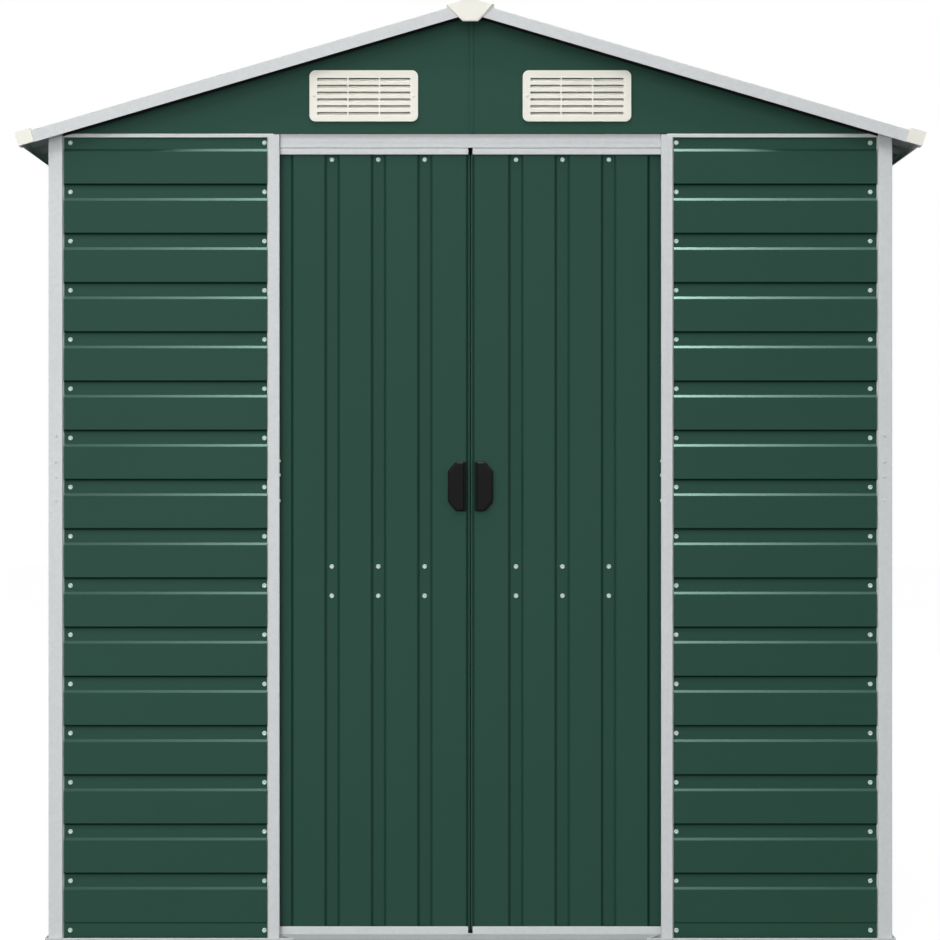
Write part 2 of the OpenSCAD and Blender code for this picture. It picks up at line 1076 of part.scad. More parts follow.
// Right door. The left door is its mirror image
function door_rib_start(k) = door_rib_in + k * (door_rib + door_groove) + (k > 0 ? door_edge_extra : 0);
function door_rib_end(k) = door_rib_start(k) + door_rib + (k == 0 ? door_edge_extra : 0);
function door_rib_points(k) = [
  [door_rib_start(k) - door_run / 2, door_sheet_d + door_depth],
  [door_rib_start(k) + door_run / 2, door_sheet_d],
  [door_rib_end(k) - door_run / 2, door_sheet_d],
  [door_rib_end(k) + door_run / 2, door_sheet_d + door_depth]
];

module right_door_sheet() {
  path = concat(
    [[door_in, door_sheet_d + door_depth]],
    [for (k = [0:door_ribs - 1]) each door_rib_points(k)],
    [[door_out, door_sheet_d + door_depth]]
  );
  foot = door_web + frame_t;
  color(green)
    on_front()
      translate([0, 0, foot])
        linear_extrude(door_top - bend_gap - foot)
          polygon(panel_sheet(backwards(path)));
}

module right_door_rails() {
  color(silver)
    on_front() {
      along_wall(door_rail_in, door_out)
        polygon(frame_sheet([
          [door_d, door_top - door_top_rail],
          [door_d, door_top],
          [door_back, door_top],
          [door_back, door_top - door_top_leg]
        ]));
      along_wall(door_rail_in, door_out)
        difference() {
          translate([door_d, door_foot])
            square([door_back - door_d, door_bottom_rail]);
          translate([door_d + frame_t, door_foot - cut])
            square([door_back - door_d - 2 * frame_t, door_web - door_foot + cut]);
          translate([door_d + frame_t, door_web + frame_t])
            square([door_back - door_d - 2 * frame_t, door_bottom_rail]);
        }
    }
}

module right_door_brace() {
  low = brace_z - brace_h / 2;
  high = brace_z + brace_h / 2;
  deep = door_sheet_back + brace_depth + frame_t;
  color(silver)
    on_front()
      along_wall(door_rib_in + brace_end, door_out - brace_end)
        polygon(frame_sheet([
          [door_sheet_back + frame_t, high],
          [door_sheet_back + frame_t, high - brace_flange],
          [deep, high - brace_flange - brace_depth / 2],
          [deep, low + brace_flange + brace_depth / 2],
          [door_sheet_back + frame_t, low + brace_flange],
          [door_sheet_back + frame_t, low]
        ]));
}

// Handle plate with slanted outer corners, a bevelled face and a step for the fingers
module handle_outline(inset) {
  wide = handle_w - inset;
  half = handle_h / 2 - inset;
  polygon(bent([
    [inset, -half],
    [wide - handle_corner, -half],
    [wide, -half + handle_corner_h],
    [wide, half - handle_corner_h],
    [wide - handle_corner, half],
    [inset, half]
  ], handle_round, handle_steps));
}

module right_door_handle() {
  front = door_sheet_d - handle_t;
  color(black)
    on_front()
      translate([door_rib_in + door_run / 2, 0, handle_z])
        difference() {
          hull() {
            into_wall(front + handle_bevel, door_sheet_d)
              handle_outline(0);
            into_wall(front, door_sheet_d)
              handle_outline(handle_bevel);
          }
          translate([-cut, front - cut, -handle_h])
            cube([handle_grip + cut, handle_grip_depth + cut, 2 * handle_h]);
        }
}

// Hangers: a plate behind the top rail with a wheel on an axle
module hanger(x) {
  low = door_top - door_top_leg / 2;
  translate([x, 0, 0]) {
    translate([-hanger_w / 2, door_back, low])
      cube([hanger_w, hanger_t, wheel_z + axle_d - low]);
    translate([0, door_back, wheel_z])
      rotate([-90, 0, 0])
        cylinder(d = axle_d, h = wheel_front + wheel_w - door_back, $fn = 32);
    translate([0, wheel_front, wheel_z])
      rotate([-90, 0, 0])
        cylinder(d = wheel_d, h = wheel_w, $fn = 48);
  }
}

module right_door_hangers() {
  color(silver)
    on_front() {
      hanger(door_rail_in + hanger_end);
      hanger(door_out - hanger_end);
    }
}

module left_door_sheet() {
  mirror([1, 0, 0])
    right_door_sheet();
}

module left_door_rails() {
  mirror([1, 0, 0])
    right_door_rails();
}

module left_door_brace() {
  mirror([1, 0, 0])
    right_door_brace();
}

module left_door_handle() {
  mirror([1, 0, 0])
    right_door_handle();
}

module left_door_hangers() {
  mirror([1, 0, 0])
    right_door_hangers();
}

base_rails_front();
base_rail_rear();
base_rail_left();
base_rail_right();
door_sill();
door_guide();
front_left_post();
front_right_post();
rear_left_post();
rear_right_post();
left_door_jamb();
right_door_jamb();
side_wall_posts();
rear_wall_post();
top_rails_front();
top_rail_rear();
top_rail_left();
top_rail_right();
door_track();
front_left_wall();
front_right_wall();
left_wall_front();
left_wall_rear();
right_wall_front();
right_wall_rear();
rear_wall_left();
rear_wall_right();
front_gable_left();
front_gable_right();
rear_gable_left();
rear_gable_right();
front_vents();
rear_vents();
ridge_beam();
roof_purlins();
left_roof_sheet();
right_roof_sheet();
ridge_flashing();
front_verge_trims();
rear_verge_trims();
eave_trims();
ridge_end_caps();
eave_corner_caps();
left_door_sheet();
left_door_rails();
left_door_brace();
left_door_handle();
left_door_hangers();
right_door_sheet();
right_door_rails();
right_door_brace();
right_door_handle();
right_door_hangers();
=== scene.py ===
"""Finishes, fasteners, moulded parts and stage for a sheet steel shed with two sliding doors."""

import json
import math

import bmesh
import bpy
from bpy.props import FloatProperty, FloatVectorProperty, IntProperty, PointerProperty
from bpy.types import Operator, Panel, PropertyGroup
from mathutils import Matrix, Vector

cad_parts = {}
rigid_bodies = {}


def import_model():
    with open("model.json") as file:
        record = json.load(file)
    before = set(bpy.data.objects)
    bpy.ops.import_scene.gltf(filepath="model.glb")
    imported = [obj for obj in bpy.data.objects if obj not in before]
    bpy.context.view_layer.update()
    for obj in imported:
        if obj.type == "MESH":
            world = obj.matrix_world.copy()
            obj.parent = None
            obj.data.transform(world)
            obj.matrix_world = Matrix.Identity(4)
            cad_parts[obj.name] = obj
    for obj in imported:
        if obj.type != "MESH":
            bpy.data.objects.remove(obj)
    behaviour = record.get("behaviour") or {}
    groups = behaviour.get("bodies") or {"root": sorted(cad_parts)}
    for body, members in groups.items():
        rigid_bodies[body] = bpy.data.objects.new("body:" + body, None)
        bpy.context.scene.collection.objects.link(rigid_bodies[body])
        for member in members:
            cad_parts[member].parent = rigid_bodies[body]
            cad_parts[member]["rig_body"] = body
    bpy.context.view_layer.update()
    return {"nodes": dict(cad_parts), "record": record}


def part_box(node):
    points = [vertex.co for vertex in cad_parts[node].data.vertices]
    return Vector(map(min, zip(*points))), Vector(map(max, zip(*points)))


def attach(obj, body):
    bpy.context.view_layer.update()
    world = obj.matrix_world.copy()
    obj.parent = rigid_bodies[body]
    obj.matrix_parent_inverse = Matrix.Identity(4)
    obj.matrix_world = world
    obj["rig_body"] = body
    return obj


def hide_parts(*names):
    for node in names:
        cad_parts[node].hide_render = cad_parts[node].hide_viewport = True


bl_info = {
    "name": "Sheet Steel Shed",
    "version": (1, 0, 0),
    "blender": (4, 5, 0),
    "location": "View3D > Sidebar > Shed",
    "description": "Dresses the frame of a sheet steel shed with finishes, fasteners and stage",
    "category": "Object",
}

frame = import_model()

FRONT_SHEETS = ("front_left_wall", "front_right_wall")
REAR_SHEETS = ("rear_wall_left", "rear_wall_right")
LEFT_SHEETS = ("left_wall_front", "left_wall_rear")
RIGHT_SHEETS = ("right_wall_front", "right_wall_rear")
DOOR_SHEETS = ("left_door_sheet", "right_door_sheet")
FRONT_GABLES = ("front_gable_left", "front_gable_right")
REAR_GABLES = ("rear_gable_left", "rear_gable_right")
RIBBED_SHEETS = FRONT_SHEETS + REAR_SHEETS + LEFT_SHEETS + RIGHT_SHEETS + DOOR_SHEETS
ROOF_SHEETS = ("left_roof_sheet", "right_roof_sheet", "ridge_flashing")
CORNER_POSTS = ("front_left_post", "front_right_post", "rear_left_post", "rear_right_post")
FINISHES = {}
AXES = {"x": Vector((1, 0, 0)), "y": Vector((0, 1, 0)), "z": Vector((0, 0, 1))}
HANDS = (("left", -1), ("right", 1))
DOORS = (("left_door", -1), ("right_door", 1))
COLOUR = dict(subtype="COLOR", size=3, min=0, max=1)

# Turns of a sheet that count as flat, folded or sharp, and the roundness of its bends
MERGE_DISTANCE = 1e-5
FLAT_ANGLE = math.radians(1)
FOLD_ANGLE = math.radians(35)
SHARP_ANGLE = math.radians(20)
BEND_SEGMENTS = 3
BEND_PROFILE = 0.5

# Cosines that tell a sheet's back, its folds, its flats and the slopes of its ribs
BACK_FACING = -0.2
FOLD_FACING = -0.45
FLAT_FACING = 0.999
SLOPE_FACING = 0.05

# Painted shade on the ribbed sheets, behind their proud flats: below the ribs and in the door
# grooves
PROUD_DEPTH = 0.0005
PAINTED_SHADE = "grime"
SHADE_FADE = 6.5
SHADE_COVER = 0.9
UNDER_RIB_SHADE = 1
GROOVE_SIDE_SHADE = 0.8
GROOVE_FLOOR_SHADE = 0.69

# Middle of a noise value, relief of the zinc cells, and the colour sockets of a Mix node
MIDDLE = 0.5
CELL_RELIEF = 0.3
MIX_FACTOR, MIX_FIRST, MIX_SECOND, MIX_RESULT = 0, 6, 7, 2

# Parts of a screw head as shares of its height or diameter
WASHER_HEIGHT = 0.3
WASHER_TOP = 0.46
HEAD_TOP = 0.47
HEAD_ROUND = 0.5
HEAD_SEGMENTS = 2
RECESS_RIM = 0.09
RECESS_DEPTH = 0.25


class ShedFinishes(PropertyGroup):
    """Colours of the painted, plated and moulded parts."""

    green: FloatVectorProperty(
        name="Green paint",
        description="Coil coating of the wall, door, gable and roof sheets",
        default=(0.0158, 0.0536, 0.0369),
        **COLOUR,
    )
    # Painted shade: a darker green on the faces under the ribs that look down, and the colour that
    # the painted shade below ribs and in grooves darkens towards
    fold: FloatVectorProperty(
        name="Folds",
        description="Green paint with the grime that stays in the folds under the ribs",
        default=(0.0016, 0.0175, 0.0106),
        **COLOUR,
    )
    lining: FloatVectorProperty(
        name="Backing coat",
        description="Dull coat on the inside of the sheets",
        default=(0.310, 0.335, 0.326),
        **COLOUR,
    )
    grey: FloatVectorProperty(
        name="Grey zinc",
        description="Zinc coating of the posts, rails and trims",
        default=(0.640, 0.662, 0.668),
        **COLOUR,
    )
    # Darker zinc for the door sill than for the posts, rails and trims
    worn: FloatVectorProperty(
        name="Worn zinc",
        description="Zinc coating of the door sill, dulled by feet",
        default=(0.335, 0.360, 0.362),
        **COLOUR,
    )
    cream: FloatVectorProperty(
        name="Cream plastic",
        description="Moulded vents and caps",
        default=(0.860, 0.848, 0.765),
        **COLOUR,
    )
    # Black also paints the shade under the verges, on strips shaped as seals
    black: FloatVectorProperty(
        name="Black plastic",
        description="Moulded door handles, and the seals under the verges",
        default=(0.0060, 0.0060, 0.0060),
        **COLOUR,
    )
    plated: FloatVectorProperty(
        name="Plated steel",
        description="Screws and rivets",
        default=(0.53, 0.67, 0.61),
        **COLOUR,
    )


class ShedFasteners(PropertyGroup):
    """Sizes and places of the screws."""

    head: FloatProperty(
        name="Head",
        description="Diameter of a screw head",
        unit="LENGTH",
        default=0.0104,
        min=0.004,
    )
    head_height: FloatProperty(
        name="Head height",
        description="Height of a screw head",
        unit="LENGTH",
        default=0.0034,
        min=0.001,
    )
    rivet: FloatProperty(
        name="Rivet",
        description="Diameter of the small heads on posts, jambs, vents and verges",
        unit="LENGTH",
        default=0.0066,
        min=0.003,
    )
    washer: FloatProperty(
        name="Washer",
        description="Diameter of the washers under the roof screws",
        unit="LENGTH",
        default=0.0150,
        min=0.006,
    )
    sides: IntProperty(
        name="Sides",
        description="Sides of a screw head",
        default=10,
        min=6,
        max=16,
    )
    first_row: FloatProperty(
        name="First row",
        description="Height of the lowest row of wall screws",
        unit="LENGTH",
        default=0.0195,
    )
    foot_step: FloatProperty(
        name="Foot step",
        description="How far the foot of a wall sheet stands in front of its flats",
        unit="LENGTH",
        default=0.003,
    )
    row_pitch: FloatProperty(
        name="Row pitch",
        description="Spacing of the rows, one in each flat between two ribs",
        unit="LENGTH",
        default=0.104,
        min=0.02,
    )
    post_inset: FloatProperty(
        name="Post inset",
        description="Distance of the screws from a sheet's end at a corner post",
        unit="LENGTH",
        default=0.0135,
    )
    jamb_inset: FloatProperty(
        name="Jamb inset",
        description="Distance of the screws from a sheet's end at a jamb or wall post",
        unit="LENGTH",
        default=0.0056,
    )
    sheet_wall: FloatProperty(
        name="Sheet",
        description="Thickness of the sheets that the screws hold",
        unit="LENGTH",
        default=0.0008,
    )
    roof_pitch: FloatProperty(
        name="Roof pitch",
        description="Slope of the roof",
        subtype="ANGLE",
        default=math.radians(16.4),
    )
    ridge_height: FloatProperty(
        name="Ridge height",
        description="Height at which the planes of the roof trims meet",
        unit="LENGTH",
        default=1.97566,
    )
    roof_rib_pitch: FloatProperty(
        name="Roof rib pitch",
        description="Spacing of the ribs of the roof sheets",
        unit="LENGTH",
        default=0.106,
        min=0.02,
    )


class ShedStage(PropertyGroup):
    """Camera, lamps and floor."""

    camera_place: FloatVectorProperty(
        name="Camera place",
        description="Where the camera stands",
        subtype="TRANSLATION",
        unit="LENGTH",
        size=3,
        default=(-0.0008, -6.271, 0.992),
    )
    lens: FloatProperty(
        name="Lens",
        description="Focal length on a sensor 36 mm wide",
        subtype="DISTANCE_CAMERA",
        default=95.06,
    )
    key_power: FloatProperty(
        name="Key lamp",
        description="Power of the large soft lamp above the camera",
        unit="POWER",
        default=205,
        min=0,
    )
    fill_power: FloatProperty(
        name="Fill lamp",
        description="Power of the wide lamp in front",
        unit="POWER",
        default=126,
        min=0,
    )
    side_power: FloatProperty(
        name="Side lamps",
        description="Power of each of the lamps beside and behind the shed",
        unit="POWER",
        default=120,
        min=0,
    )
    sheen_power: FloatProperty(
        name="Sheen lamp",
        description="Power of the lamp over the doorway that shows only in gloss",
        unit="POWER",
        default=590,
        min=0,
    )
    room_light: FloatProperty(
        name="Room light",
        description="Strength of the even light from all sides",
        default=0.65,
        min=0,
    )
    floor_tone: FloatProperty(
        name="Floor",
        description="Grey of the floor round the shed, under the white that the camera sees",
        subtype="FACTOR",
        min=0,
        max=1,
        default=0.08,
    )
    inner_floor_tone: FloatProperty(
        name="Inner floor",
        description="Grey of the floor inside the walls",
        subtype="FACTOR",
        min=0,
        max=1,
        default=0.5,
    )


def add_node(tree, kind, **settings):
    """New shader node with its sockets or properties set by name."""
    node = tree.nodes.new(kind)
    for name, value in settings.items():
        label = name.replace("_", " ")
        if hasattr(node, name):
            setattr(node, name, value)
        else:
            node.inputs[label].default_value = value
    return node


def math_node(tree, operation, first, second):
    """Math node fed by sockets or plain numbers. Gives back its result socket."""
    node = tree.nodes.new("ShaderNodeMath")
    node.operation = operation
    for socket, value in zip(node.inputs, (first, second)):
        if isinstance(value, bpy.types.NodeSocket):
            tree.links.new(value, socket)
        else:
            socket.default_value = value
    return node.outputs[0]


def new_group(name, inputs, outputs):
    """Shader node group with named sockets, and its entry and exit nodes."""
    group = bpy.data.node_groups.new(name, "ShaderNodeTree")

    def add_socket(label, way):
        kind = "NodeSocketColor" if label == "Colour" else "NodeSocketFloat"
        return group.interface.new_socket(label, in_out=way, socket_type=kind)

    for label, default in inputs.items():
        add_socket(label, "INPUT").default_value = default
    for label in outputs:
        add_socket(label, "OUTPUT")
    return group, group.nodes.new("NodeGroupInput"), group.nodes.new("NodeGroupOutput")


def vary_tone(group, entry, leave, value, amount):
    """Lightens or darkens a group's colour where a value is above or below its middle."""
    tint = group.nodes.new("ShaderNodeHueSaturation")
    offset = math_node(group, "SUBTRACT", value, MIDDLE)
    change = math_node(group, "MULTIPLY", offset, amount)
    group.links.new(math_node(group, "ADD", change, 1), tint.inputs["Value"])
    group.links.new(entry.outputs["Colour"], tint.inputs["Color"])
    group.links.new(tint.outputs["Color"], leave.inputs["Colour"])


def tone_drift_group():
    """Slow drift of a colour over the surface, as between coating batches and light soiling."""
    group, entry, leave = new_group(
        "Tone Drift",
        {"Colour": (0.5, 0.5, 0.5, 1), "Drift": 0.1, "Scale": 4},
        ["Colour"],
    )
    place = group.nodes.new("ShaderNodeTexCoord")
    cloud = add_node(group, "ShaderNodeTexNoise", Detail=5, Roughness=0.6)
    group.links.new(place.outputs["Object"], cloud.inputs["Vector"])
    group.links.new(entry.outputs["Scale"], cloud.inputs["Scale"])
    vary_tone(group, entry, leave, cloud.outputs["Fac"], entry.outputs["Drift"])


def satin_grain_group():
    """Fine grain of a coating or moulding, with a slow wave below it as in rolled sheet."""
    group, entry, leave = new_group(
        "Satin Grain",
        {
            "Grain Scale": 400,
            "Wave Scale": 3,
            "Wave Share": 0.2,
            "Smoothest": 0.3,
            "Roughest": 0.5,
        },
        ["Roughness", "Height"],
    )
    place = group.nodes.new("ShaderNodeTexCoord")
    grain = add_node(group, "ShaderNodeTexNoise", Detail=2)
    wave = add_node(group, "ShaderNodeTexNoise", Detail=1)
    for noise, label in ((grain, "Grain Scale"), (wave, "Wave Scale")):
        group.links.new(place.outputs["Object"], noise.inputs["Vector"])
        group.links.new(entry.outputs[label], noise.inputs["Scale"])
    lifted = math_node(group, "MULTIPLY", wave.outputs["Fac"], entry.outputs["Wave Share"])
    group.links.new(math_node(group, "ADD", grain.outputs["Fac"], lifted), leave.inputs["Height"])
    span = math_node(group, "SUBTRACT", entry.outputs["Roughest"], entry.outputs["Smoothest"])
    both = math_node(group, "ADD", grain.outputs["Fac"], wave.outputs["Fac"])
    mean = math_node(group, "MULTIPLY", both, 1 / 2)
    share = math_node(group, "MULTIPLY", mean, span)
    rough = math_node(group, "ADD", share, entry.outputs["Smoothest"])
    group.links.new(rough, leave.inputs["Roughness"])


def zinc_spangle_group():
    """Crystal pattern of a zinc coating: cells that differ a little in tone."""
    group, entry, leave = new_group(
        "Zinc Spangle",
        {"Colour": (0.6, 0.6, 0.6, 1), "Contrast": 0.06, "Scale": 90},
        ["Colour", "Cell"],
    )
    place = group.nodes.new("ShaderNodeTexCoord")
    cells = group.nodes.new("ShaderNodeTexVoronoi")
    tone = group.nodes.new("ShaderNodeSeparateColor")
    group.links.new(place.outputs["Object"], cells.inputs["Vector"])
    group.links.new(entry.outputs["Scale"], cells.inputs["Scale"])
    group.links.new(cells.outputs["Color"], tone.inputs["Color"])
    vary_tone(group, entry, leave, tone.outputs["Red"], entry.outputs["Contrast"])
    group.links.new(tone.outputs["Green"], leave.inputs["Cell"])


def new_material(name, **settings):
    """Material with a Principled shader whose plain sockets are set by name."""
    material = bpy.data.materials.new(name)
    material.use_nodes = True
    shader = material.node_tree.nodes["Principled BSDF"]
    for label, value in settings.items():
        shader.inputs[label.replace("_", " ")].default_value = value
    return material, material.node_tree, shader


def place_group(tree, name, **values):
    """Group node in a material with its inputs set by name."""
    node = tree.nodes.new("ShaderNodeGroup")
    node.node_tree = bpy.data.node_groups[name]
    for label, value in values.items():
        node.inputs[label.replace("_", " ")].default_value = value
    return node


def bump_from(tree, shader, height, strength, distance):
    """Bump on the shader's normal."""
    bump = add_node(tree, "ShaderNodeBump", Strength=strength, Distance=distance)
    tree.links.new(height, bump.inputs["Height"])
    tree.links.new(bump.outputs["Normal"], shader.inputs["Normal"])


def lay_coat(tree, colour, drift, grain, rough):
    """Places a drifting colour and a grain in a material.

    The drift has an amount and a scale. The grain has its own scale, then the scale and the
    share of the wave below it. The rough is its least and its greatest roughness.
    """
    amount, scale = drift
    grain_scale, wave_scale, wave_share = grain
    smoothest, roughest = rough
    tone = place_group(tree, "Tone Drift", Colour=(*colour, 1), Drift=amount, Scale=scale)
    surface = place_group(
        tree,
        "Satin Grain",
        Grain_Scale=grain_scale,
        Wave_Scale=wave_scale,
        Wave_Share=wave_share,
        Smoothest=smoothest,
        Roughest=roughest,
    )
    return tone, surface


def coated_material(name, colour, drift, grain, rough, bump, **settings):
    """Coated or moulded surface with a bump of some strength and distance."""
    material, tree, shader = new_material(name, **settings)
    tone, surface = lay_coat(tree, colour, drift, grain, rough)
    tree.links.new(tone.outputs["Colour"], shader.inputs["Base Color"])
    tree.links.new(surface.outputs["Roughness"], shader.inputs["Roughness"])
    bump_from(tree, shader, surface.outputs["Height"], *bump)
    return material


def paint_shade(material, colour):
    """Darkens a coating where the sheet's shade attribute says so: painted shade below ribs and in
    grooves.
    """
    tree = material.node_tree
    coat = tree.nodes["Principled BSDF"].inputs["Base Color"]
    unshaded = coat.links[0].from_socket
    mark = add_node(tree, "ShaderNodeAttribute", attribute_name=PAINTED_SHADE)
    share = math_node(tree, "POWER", mark.outputs["Fac"], SHADE_FADE)
    share = math_node(tree, "MULTIPLY", share, SHADE_COVER)
    blend = add_node(tree, "ShaderNodeMix", data_type="RGBA")
    blend.inputs[MIX_SECOND].default_value = (*colour, 1)
    tree.links.new(share, blend.inputs[MIX_FACTOR])
    tree.links.new(unshaded, blend.inputs[MIX_FIRST])
    tree.links.new(blend.outputs[MIX_RESULT], coat)


def spangled_material(name, colour, **settings):
    """Zinc-coated steel: crystal cells in tone, over the grain of the rolled strip."""
    material, tree, shader = new_material(name, **settings)
    tone, surface = lay_coat(tree, colour, drift=(0.07, 5), grain=(260, 7, 0.5), rough=(0.3, 0.46))
    cells = place_group(tree, "Zinc Spangle", Contrast=0.05, Scale=140)
    tree.links.new(tone.outputs["Colour"], cells.inputs["Colour"])
    tree.links.new(cells.outputs["Colour"], shader.inputs["Base Color"])
    tree.links.new(surface.outputs["Roughness"], shader.inputs["Roughness"])
    relief = math_node(tree, "MULTIPLY", cells.outputs["Cell"], CELL_RELIEF)
    height = math_node(tree, "ADD", surface.outputs["Height"], relief)
    bump_from(tree, shader, height, strength=0.12, distance=0.0004)
    return material


def mesh_from(bm, name):
    """Mesh with what a bmesh holds. The bmesh is freed."""
    mesh = bpy.data.meshes.new(name)
    bm.to_mesh(mesh)
    bm.free()
    return mesh


def finish_object(name, bm, finish, body):
    """Turns a bmesh into a piece with a finish that rides on a body."""
    mesh = mesh_from(bm, name)
    piece = bpy.data.objects.new(name, mesh)
    bpy.context.scene.collection.objects.link(piece)
    mesh.materials.append(FINISHES[finish])
    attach(piece, body)
    return piece


def add_cone(bm, foot, top, height, lift, sides):
    """Low cone at a height above the XY plane. Foot and top are radii."""
    bmesh.ops.create_cone(
        bm,
        cap_ends=True,
        segments=sides,
        radius1=foot,
        radius2=top,
        depth=height,
        matrix=Matrix.Translation((0, 0, lift + height / 2)),
    )


def highest_face(bm):
    """Face whose middle is highest."""
    return max(bm.faces, key=lambda face: face.calc_center_median().z)


def head_mesh(name, settings, diameter, share=1, washer=0):
    """One low screw head on the XY plane, with a driver recess and perhaps a washer.

    Its height is a share of the usual one.
    """
    bm = bmesh.new()
    sides = settings.sides
    height = settings.head_height * share
    lift = 0
    if washer:
        lift = height * WASHER_HEIGHT
        add_cone(bm, washer / 2, washer * WASHER_TOP, lift, 0, sides)
    add_cone(bm, diameter / 2, diameter * HEAD_TOP, height, lift, sides)
    rim = list(highest_face(bm).edges)
    round_edges(bm, rim, height * HEAD_ROUND, HEAD_SEGMENTS, clamp=False)
    bmesh.ops.inset_region(
        bm,
        faces=[highest_face(bm)],
        thickness=diameter * RECESS_RIM,
        depth=-height * RECESS_DEPTH,
    )
    return mesh_from(bm, name)


def stamp_heads(name, stamps, body, finish="plated"):
    """All heads of one body in one piece. A stamp is a head mesh, a place and a facing."""
    bm = bmesh.new()
    for head, place, facing in stamps:
        first = len(bm.verts)
        bm.from_mesh(head)
        bm.verts.ensure_lookup_table()
        turn = facing.to_track_quat("Z", "Y").to_matrix().to_4x4()
        bmesh.ops.transform(bm, matrix=Matrix.Translation(place) @ turn, verts=bm.verts[first:])
    finish_object(name, bm, finish, body)


def sheet_stamps(settings, head, nodes, along, facing):
    """Screws in the flats of wall sheets, one column at each end."""
    stamps = []
    outwards = facing[0] + facing[1]
    for node in nodes:
        low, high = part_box(node)
        across = "y" if along == "x" else "x"
        face = getattr(high if outwards < 0 else low, across) + outwards * settings.sheet_wall
        start, end = getattr(low, along), getattr(high, along)
        if abs(start) < abs(end):
            columns = (start + settings.jamb_inset, end - settings.post_inset)
        else:
            columns = (start + settings.post_inset, end - settings.jamb_inset)
        rows = int((high.z - settings.first_row) / settings.row_pitch) + 1
        for column in columns:
            for row in range(rows):
                height = settings.first_row + row * settings.row_pitch
                place = AXES[along] * column + AXES[across] * face + AXES["z"] * height
                if row == 0:
                    place += facing * settings.foot_step
                stamps.append((head, place, facing))
    return stamps


def merged_copy(node):
    """Mesh of a frame node with its loose triangles joined into whole faces."""
    bm = bmesh.new()
    bm.from_mesh(frame["nodes"][node].data)
    bmesh.ops.remove_doubles(bm, verts=bm.verts[:], dist=MERGE_DISTANCE)
    bmesh.ops.dissolve_limit(
        bm,
        angle_limit=FLAT_ANGLE,
        use_dissolve_boundaries=False,
        verts=bm.verts[:],
        edges=bm.edges[:],
    )
    return bm


def edges_over(bm, angle):
    """Edges that turn by more than an angle."""
    inner = [edge for edge in bm.edges if len(edge.link_faces) == 2]
    return [edge for edge in inner if edge.calc_face_angle() > angle]


def mark_painted_shade(bm, facing, upright):
    """Marks where shade is painted: below ribs that lie level, or in grooves that stand upright.
    """
    grime = bm.verts.layers.float.new(PAINTED_SHADE)
    front = max(vert.co.dot(facing) for vert in bm.verts)
    outer = [face for face in bm.faces if face.normal.dot(facing) > -BACK_FACING]
    flat = [face for face in outer if face.normal.dot(facing) > FLAT_FACING]
    proud = {
        vert for face in flat for vert in face.verts if front - vert.co.dot(facing) < PROUD_DEPTH
    }
    across = facing.cross(AXES["z"])
    for face in outer:
        if upright:
            slopes = abs(face.normal.dot(across)) > SLOPE_FACING
        else:
            slopes = face.normal.z < -SLOPE_FACING
        for vert in face.verts:
            if slopes and vert not in proud:
                vert[grime] = GROOVE_SIDE_SHADE if upright else UNDER_RIB_SHADE
    if upright:
        for vert in {vert for face in flat for vert in face.verts} - proud:
            vert[grime] = GROOVE_FLOOR_SHADE


def rolled_copy(node, facing):
    """Copy of a folded sheet, standing for it: round bends, painted outside, coated inside."""
    bm = merged_copy(node)
    # Faces under the ribs that look down take the third material, a darker green: painted shade
    for face in bm.faces:
        face.smooth = True
        if face.normal.dot(facing) < BACK_FACING:
            face.material_index = 1
        elif face.normal.z < FOLD_FACING:
            face.material_index = 2
    for edge in edges_over(bm, FOLD_ANGLE):
        edge.smooth = False
    # Painted shade below the ribs of the walls and in the grooves of the doors
    if node in RIBBED_SHEETS:
        mark_painted_shade(bm, facing, node in DOOR_SHEETS)
    body = frame["nodes"][node]["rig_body"]
    piece = finish_object("rolled_" + node, bm, "green", body)
    piece.data.materials.append(FINISHES["lining"])
    piece.data.materials.append(FINISHES["fold"])
    shading = piece.modifiers.new("Round bends", "WEIGHTED_NORMAL")
    shading.keep_sharp = True
    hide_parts(node)


def round_edges(bm, edges, radius, segments, clamp=True):
    """Rounds edges by a radius."""
    bmesh.ops.bevel(
        bm,
        geom=edges,
        offset=radius,
        offset_type="OFFSET",
        segments=segments,
        profile=BEND_PROFILE,
        affect="EDGES",
        clamp_overlap=clamp,
        material=-1,
    )


def softened_copy(name, node, radius, segments, finish, slot, rim=0):
    """Copy of a frame node with rounded edges, standing for it.

    The rim is the radius round its two ends in Y, where that differs.
    """
    bm = merged_copy(node)
    ends = [end.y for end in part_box(node)]

    def on_end(edge):
        return any(all(abs(v.co.y - y) < MERGE_DISTANCE for v in edge.verts) for y in ends)

    sharp = edges_over(bm, SHARP_ANGLE)
    if rim:
        round_edges(bm, [edge for edge in sharp if not on_end(edge)], radius, segments)
        rims = [edge for edge in edges_over(bm, SHARP_ANGLE) if on_end(edge)]
        round_edges(bm, rims, rim, segments, clamp=False)
    else:
        round_edges(bm, sharp, radius, segments)
    piece = finish_object(name, bm, finish, frame["nodes"][node]["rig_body"])
    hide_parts(node)


